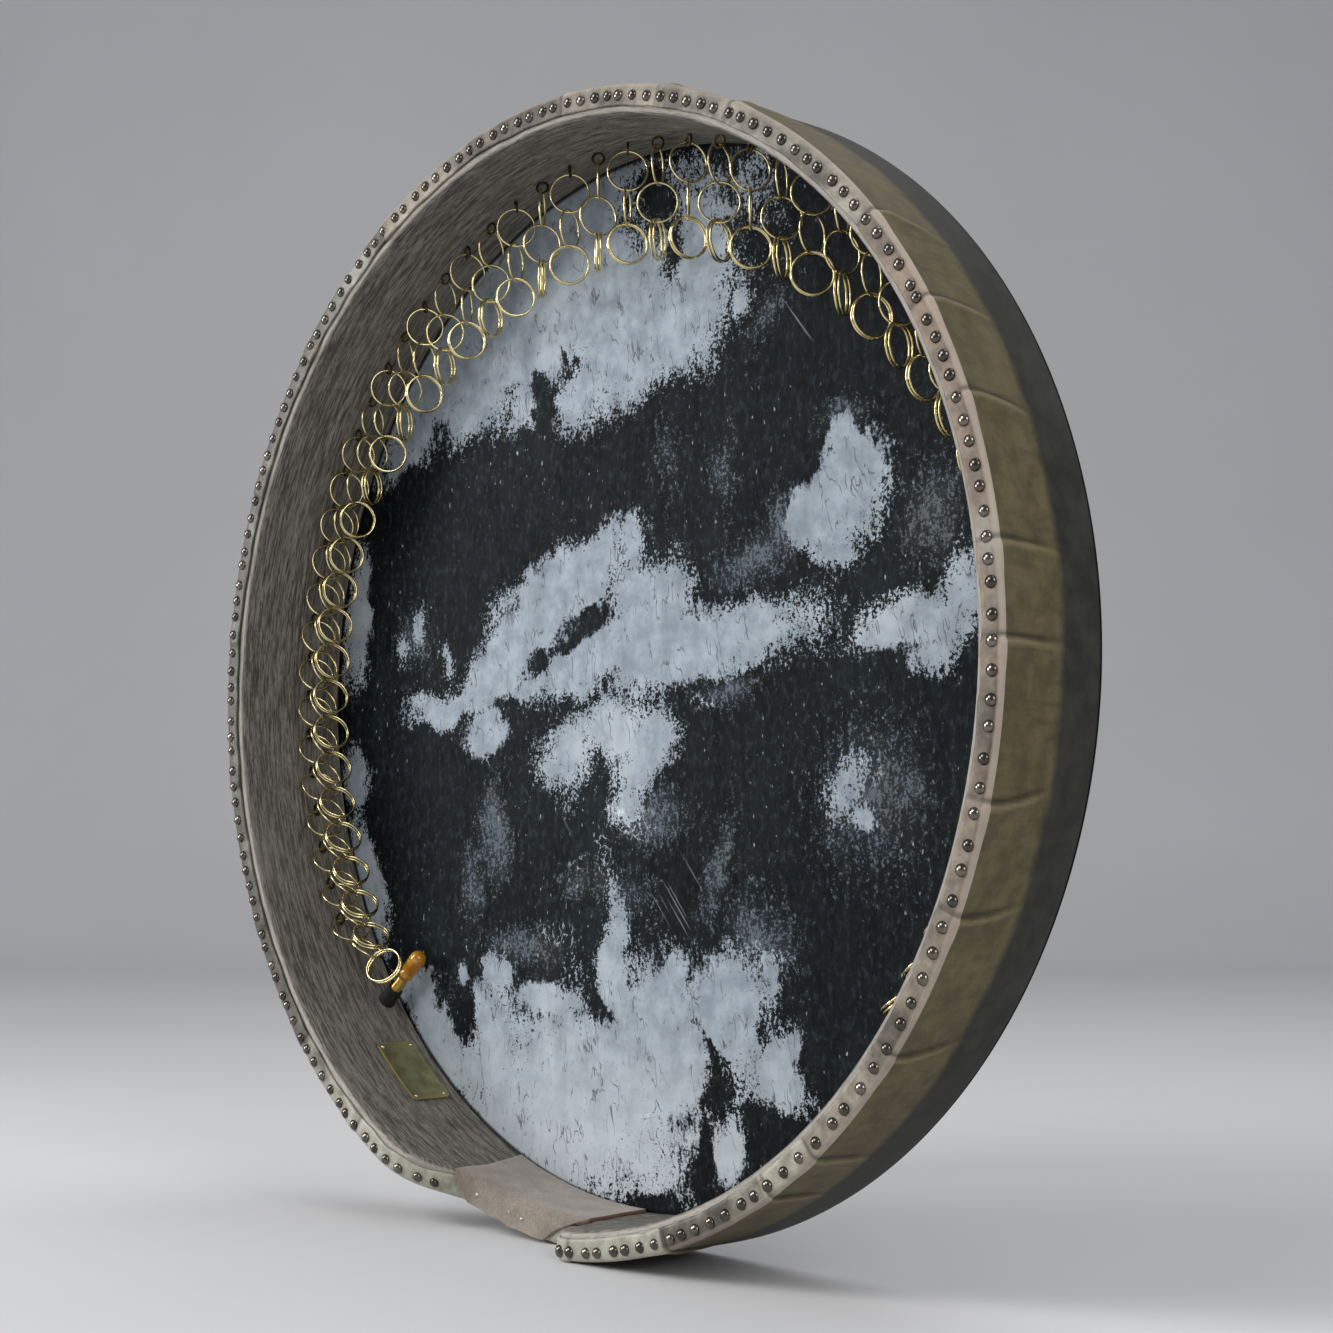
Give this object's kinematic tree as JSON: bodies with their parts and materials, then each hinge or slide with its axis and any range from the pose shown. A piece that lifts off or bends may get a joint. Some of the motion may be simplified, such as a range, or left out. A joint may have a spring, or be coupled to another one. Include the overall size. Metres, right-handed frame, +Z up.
{
  "type": "frame drum",
  "caption": "Shallow frame drum with a goat-hide head on a wooden hoop, chains of brass rings inside it, an air valve and a padded thumb notch.",
  "frame": {"origin": "middle of the drum's footprint, on the surface that it stands on with its rim", "axes": "+Z up, drum axis along Y with the head towards +Y and the open back towards -Y, +X to the right from behind"},
  "size_m": [0.53, 0.065, 0.53],
  "materials": {
    "wood": "oiled, fine grain",
    "goat_hide": "pied natural hide, matt",
    "tube_rubber": "matt",
    "aged_brass": "aged, brushed",
    "suede": "suede",
    "valve_brass": "polished",
    "black_sleeve": "matt",
    "amber_cap": "gloss, translucent",
    "ring_brass": "bright wire"
  },
  "bodies": {
    "drum": {"hoop": "wood", "hide": "goat_hide", "air_tube": "tube_rubber", "plate": "aged_brass", "thumb_pad": "suede", "valve_stem": "valve_brass", "valve_collar": "black_sleeve"},
    "ring_chain_01": {"ring_chain_01": "ring_brass"},
    "ring_chain_02": {"ring_chain_02": "ring_brass"},
    "ring_chain_03": {"ring_chain_03": "ring_brass"},
    "ring_chain_04": {"ring_chain_04": "ring_brass"},
    "ring_chain_05": {"ring_chain_05": "ring_brass"},
    "ring_chain_06": {"ring_chain_06": "ring_brass"},
    "ring_chain_07": {"ring_chain_07": "ring_brass"},
    "ring_chain_08": {"ring_chain_08": "ring_brass"},
    "ring_chain_09": {"ring_chain_09": "ring_brass"},
    "ring_chain_10": {"ring_chain_10": "ring_brass"},
    "ring_chain_11": {"ring_chain_11": "ring_brass"},
    "ring_chain_12": {"ring_chain_12": "ring_brass"},
    "ring_chain_13": {"ring_chain_13": "ring_brass"},
    "ring_chain_14": {"ring_chain_14": "ring_brass"},
    "ring_chain_15": {"ring_chain_15": "ring_brass"},
    "ring_chain_16": {"ring_chain_16": "ring_brass"},
    "ring_chain_17": {"ring_chain_17": "ring_brass"},
    "ring_chain_18": {"ring_chain_18": "ring_brass"},
    "ring_chain_19": {"ring_chain_19": "ring_brass"},
    "ring_chain_20": {"ring_chain_20": "ring_brass"},
    "ring_chain_21": {"ring_chain_21": "ring_brass"},
    "ring_chain_22": {"ring_chain_22": "ring_brass"},
    "ring_chain_23": {"ring_chain_23": "ring_brass"},
    "ring_chain_24": {"ring_chain_24": "ring_brass"},
    "ring_chain_25": {"ring_chain_25": "ring_brass"},
    "ring_chain_26": {"ring_chain_26": "ring_brass"},
    "ring_chain_27": {"ring_chain_27": "ring_brass"},
    "ring_chain_28": {"ring_chain_28": "ring_brass"},
    "ring_chain_29": {"ring_chain_29": "ring_brass"},
    "ring_chain_30": {"ring_chain_30": "ring_brass"},
    "ring_chain_31": {"ring_chain_31": "ring_brass"},
    "ring_chain_32": {"ring_chain_32": "ring_brass"},
    "ring_chain_33": {"ring_chain_33": "ring_brass"},
    "ring_chain_34": {"ring_chain_34": "ring_brass"},
    "ring_chain_35": {"ring_chain_35": "ring_brass"},
    "ring_chain_36": {"ring_chain_36": "ring_brass"},
    "ring_chain_37": {"ring_chain_37": "ring_brass"},
    "ring_chain_38": {"ring_chain_38": "ring_brass"},
    "ring_chain_39": {"ring_chain_39": "ring_brass"},
    "ring_chain_40": {"ring_chain_40": "ring_brass"},
    "ring_chain_41": {"ring_chain_41": "ring_brass"},
    "ring_chain_42": {"ring_chain_42": "ring_brass"},
    "ring_chain_43": {"ring_chain_43": "ring_brass"},
    "ring_chain_44": {"ring_chain_44": "ring_brass"},
    "ring_chain_45": {"ring_chain_45": "ring_brass"},
    "ring_chain_46": {"ring_chain_46": "ring_brass"},
    "ring_chain_47": {"ring_chain_47": "ring_brass"},
    "ring_chain_48": {"ring_chain_48": "ring_brass"},
    "ring_chain_49": {"ring_chain_49": "ring_brass"},
    "ring_chain_50": {"ring_chain_50": "ring_brass"},
    "valve_cap": {"valve_cap": "amber_cap"}
  },
  "joints": [
    {"name": "ring_chain_01_swing", "type": "hinge", "parent": "drum", "child": "ring_chain_01", "pos_m": [-0.21533, 0.0105, 0.14368], "axis": [0.515, 0, 0.8572], "range_deg": [-33, 1]},
    {"name": "ring_chain_02_swing", "type": "hinge", "parent": "drum", "child": "ring_chain_02", "pos_m": [-0.22489, 0.0105, 0.16232], "axis": [0.5858, 0, 0.8105], "range_deg": [-33, 10]},
    {"name": "ring_chain_03_swing", "type": "hinge", "parent": "drum", "child": "ring_chain_03", "pos_m": [-0.23305, 0.0105, 0.18164], "axis": [0.6523, 0, 0.758], "range_deg": [-33, 10]},
    {"name": "ring_chain_04_swing", "type": "hinge", "parent": "drum", "child": "ring_chain_04", "pos_m": [-0.2389, 0.0105, 0.20176], "axis": [0.7141, 0, 0.7], "range_deg": [-33, 10]},
    {"name": "ring_chain_05_swing", "type": "hinge", "parent": "drum", "child": "ring_chain_05", "pos_m": [-0.24355, 0.0105, 0.22219], "axis": [0.7708, 0, 0.637], "range_deg": [-33, 10]},
    {"name": "ring_chain_06_swing", "type": "hinge", "parent": "drum", "child": "ring_chain_06", "pos_m": [-0.24643, 0.0105, 0.24296], "axis": [0.822, 0, 0.5695], "range_deg": [-33, 10]},
    {"name": "ring_chain_07_swing", "type": "hinge", "parent": "drum", "child": "ring_chain_07", "pos_m": [-0.24712, 0.0105, 0.2639], "axis": [0.8673, 0, 0.4978], "range_deg": [-33, 10]},
    {"name": "ring_chain_08_swing", "type": "hinge", "parent": "drum", "child": "ring_chain_08", "pos_m": [-0.24656, 0.0105, 0.28485], "axis": [0.9063, 0, 0.4226], "range_deg": [-33, 10]},
    {"name": "ring_chain_09_swing", "type": "hinge", "parent": "drum", "child": "ring_chain_09", "pos_m": [-0.24397, 0.0105, 0.30565], "axis": [0.9388, 0, 0.3444], "range_deg": [-33, 10]},
    {"name": "ring_chain_10_swing", "type": "hinge", "parent": "drum", "child": "ring_chain_10", "pos_m": [-0.23944, 0.0105, 0.32611], "axis": [0.9646, 0, 0.2636], "range_deg": [-33, 10]},
    {"name": "ring_chain_11_swing", "type": "hinge", "parent": "drum", "child": "ring_chain_11", "pos_m": [-0.23372, 0.0105, 0.34627], "axis": [0.9835, 0, 0.181], "range_deg": [-33, 10]},
    {"name": "ring_chain_12_swing", "type": "hinge", "parent": "drum", "child": "ring_chain_12", "pos_m": [-0.22583, 0.0105, 0.36569], "axis": [0.9953, 0, 0.0971], "range_deg": [-33, 10]},
    {"name": "ring_chain_13_swing", "type": "hinge", "parent": "drum", "child": "ring_chain_13", "pos_m": [-0.21638, 0.0105, 0.38439], "axis": [0.9999, 0, 0.0125], "range_deg": [-33, 10]},
    {"name": "ring_chain_14_swing", "type": "hinge", "parent": "drum", "child": "ring_chain_14", "pos_m": [-0.20569, 0.0105, 0.40251], "axis": [1, 0, 0], "range_deg": [-33, 10]},
    {"name": "ring_chain_15_swing", "type": "hinge", "parent": "drum", "child": "ring_chain_15", "pos_m": [-0.19288, 0.0105, 0.41921], "axis": [1, 0, 0], "range_deg": [-33, 10]},
    {"name": "ring_chain_16_swing", "type": "hinge", "parent": "drum", "child": "ring_chain_16", "pos_m": [-0.17893, 0.0105, 0.43495], "axis": [1, 0, 0], "range_deg": [-33, 10]},
    {"name": "ring_chain_17_swing", "type": "hinge", "parent": "drum", "child": "ring_chain_17", "pos_m": [-0.16405, 0.0105, 0.44985], "axis": [1, 0, 0], "range_deg": [-33, 10]},
    {"name": "ring_chain_18_swing", "type": "hinge", "parent": "drum", "child": "ring_chain_18", "pos_m": [-0.14735, 0.0105, 0.46268], "axis": [1, 0, 0], "range_deg": [-33, 10]},
    {"name": "ring_chain_19_swing", "type": "hinge", "parent": "drum", "child": "ring_chain_19", "pos_m": [-0.12995, 0.0105, 0.47448], "axis": [1, 0, 0], "range_deg": [-33, 10]},
    {"name": "ring_chain_20_swing", "type": "hinge", "parent": "drum", "child": "ring_chain_20", "pos_m": [-0.11172, 0.0105, 0.48501], "axis": [1, 0, 0], "range_deg": [-33, 10]},
    {"name": "ring_chain_21_swing", "type": "hinge", "parent": "drum", "child": "ring_chain_21", "pos_m": [-0.09237, 0.0105, 0.4933], "axis": [1, 0, 0], "range_deg": [-33, 10]},
    {"name": "ring_chain_22_swing", "type": "hinge", "parent": "drum", "child": "ring_chain_22", "pos_m": [-0.07258, 0.0105, 0.50043], "axis": [1, 0, 0], "range_deg": [-33, 10]},
    {"name": "ring_chain_23_swing", "type": "hinge", "parent": "drum", "child": "ring_chain_23", "pos_m": [-0.05225, 0.0105, 0.50588], "axis": [1, 0, 0], "range_deg": [-33, 10]},
    {"name": "ring_chain_24_swing", "type": "hinge", "parent": "drum", "child": "ring_chain_24", "pos_m": [-0.03146, 0.0105, 0.50912], "axis": [1, 0, 0], "range_deg": [-33, 10]},
    {"name": "ring_chain_25_swing", "type": "hinge", "parent": "drum", "child": "ring_chain_25", "pos_m": [-0.01052, 0.0105, 0.51112], "axis": [1, 0, 0], "range_deg": [-33, 10]},
    {"name": "ring_chain_26_swing", "type": "hinge", "parent": "drum", "child": "ring_chain_26", "pos_m": [0.01052, 0.0105, 0.51112], "axis": [1, 0, 0], "range_deg": [-33, 10]},
    {"name": "ring_chain_27_swing", "type": "hinge", "parent": "drum", "child": "ring_chain_27", "pos_m": [0.03146, 0.0105, 0.50912], "axis": [1, 0, 0], "range_deg": [-33, 10]},
    {"name": "ring_chain_28_swing", "type": "hinge", "parent": "drum", "child": "ring_chain_28", "pos_m": [0.05225, 0.0105, 0.50588], "axis": [1, 0, 0], "range_deg": [-33, 10]},
    {"name": "ring_chain_29_swing", "type": "hinge", "parent": "drum", "child": "ring_chain_29", "pos_m": [0.07258, 0.0105, 0.50043], "axis": [1, 0, 0], "range_deg": [-33, 10]},
    {"name": "ring_chain_30_swing", "type": "hinge", "parent": "drum", "child": "ring_chain_30", "pos_m": [0.09237, 0.0105, 0.4933], "axis": [1, 0, 0], "range_deg": [-33, 10]},
    {"name": "ring_chain_31_swing", "type": "hinge", "parent": "drum", "child": "ring_chain_31", "pos_m": [0.11172, 0.0105, 0.48501], "axis": [1, 0, 0], "range_deg": [-33, 10]},
    {"name": "ring_chain_32_swing", "type": "hinge", "parent": "drum", "child": "ring_chain_32", "pos_m": [0.12995, 0.0105, 0.47448], "axis": [1, 0, 0], "range_deg": [-33, 10]},
    {"name": "ring_chain_33_swing", "type": "hinge", "parent": "drum", "child": "ring_chain_33", "pos_m": [0.14735, 0.0105, 0.46268], "axis": [1, 0, 0], "range_deg": [-33, 10]},
    {"name": "ring_chain_34_swing", "type": "hinge", "parent": "drum", "child": "ring_chain_34", "pos_m": [0.16405, 0.0105, 0.44985], "axis": [1, 0, 0], "range_deg": [-33, 10]},
    {"name": "ring_chain_35_swing", "type": "hinge", "parent": "drum", "child": "ring_chain_35", "pos_m": [0.17893, 0.0105, 0.43495], "axis": [1, 0, 0], "range_deg": [-33, 10]},
    {"name": "ring_chain_36_swing", "type": "hinge", "parent": "drum", "child": "ring_chain_36", "pos_m": [0.19288, 0.0105, 0.41921], "axis": [1, 0, 0], "range_deg": [-33, 10]},
    {"name": "ring_chain_37_swing", "type": "hinge", "parent": "drum", "child": "ring_chain_37", "pos_m": [0.20569, 0.0105, 0.40251], "axis": [1, 0, 0], "range_deg": [-33, 10]},
    {"name": "ring_chain_38_swing", "type": "hinge", "parent": "drum", "child": "ring_chain_38", "pos_m": [0.21638, 0.0105, 0.38439], "axis": [0.9999, 0, -0.0125], "range_deg": [-33, 10]},
    {"name": "ring_chain_39_swing", "type": "hinge", "parent": "drum", "child": "ring_chain_39", "pos_m": [0.22583, 0.0105, 0.36569], "axis": [0.9953, 0, -0.0971], "range_deg": [-33, 10]},
    {"name": "ring_chain_40_swing", "type": "hinge", "parent": "drum", "child": "ring_chain_40", "pos_m": [0.23372, 0.0105, 0.34627], "axis": [0.9835, 0, -0.181], "range_deg": [-33, 10]},
    {"name": "ring_chain_41_swing", "type": "hinge", "parent": "drum", "child": "ring_chain_41", "pos_m": [0.23944, 0.0105, 0.32611], "axis": [0.9646, 0, -0.2636], "range_deg": [-33, 10]},
    {"name": "ring_chain_42_swing", "type": "hinge", "parent": "drum", "child": "ring_chain_42", "pos_m": [0.24397, 0.0105, 0.30565], "axis": [0.9388, 0, -0.3444], "range_deg": [-33, 10]},
    {"name": "ring_chain_43_swing", "type": "hinge", "parent": "drum", "child": "ring_chain_43", "pos_m": [0.24656, 0.0105, 0.28485], "axis": [0.9063, 0, -0.4226], "range_deg": [-33, 10]},
    {"name": "ring_chain_44_swing", "type": "hinge", "parent": "drum", "child": "ring_chain_44", "pos_m": [0.24712, 0.0105, 0.2639], "axis": [0.8673, 0, -0.4978], "range_deg": [-33, 10]},
    {"name": "ring_chain_45_swing", "type": "hinge", "parent": "drum", "child": "ring_chain_45", "pos_m": [0.24643, 0.0105, 0.24296], "axis": [0.822, 0, -0.5695], "range_deg": [-33, 10]},
    {"name": "ring_chain_46_swing", "type": "hinge", "parent": "drum", "child": "ring_chain_46", "pos_m": [0.24355, 0.0105, 0.22219], "axis": [0.7708, 0, -0.637], "range_deg": [-33, 10]},
    {"name": "ring_chain_47_swing", "type": "hinge", "parent": "drum", "child": "ring_chain_47", "pos_m": [0.2389, 0.0105, 0.20176], "axis": [0.7141, 0, -0.7], "range_deg": [-33, 10]},
    {"name": "ring_chain_48_swing", "type": "hinge", "parent": "drum", "child": "ring_chain_48", "pos_m": [0.23305, 0.0105, 0.18164], "axis": [0.6523, 0, -0.758], "range_deg": [-33, 10]},
    {"name": "ring_chain_49_swing", "type": "hinge", "parent": "drum", "child": "ring_chain_49", "pos_m": [0.22489, 0.0105, 0.16232], "axis": [0.5858, 0, -0.8105], "range_deg": [-33, 10]},
    {"name": "ring_chain_50_swing", "type": "hinge", "parent": "drum", "child": "ring_chain_50", "pos_m": [0.21533, 0.0105, 0.14368], "axis": [0.515, 0, -0.8572], "range_deg": [-33, 10]},
    {"name": "valve_cap_pull", "type": "slide", "parent": "drum", "child": "valve_cap", "axis": [0.7615, 0, 0.6481], "range_m": [0, 0.02]}
  ]
}
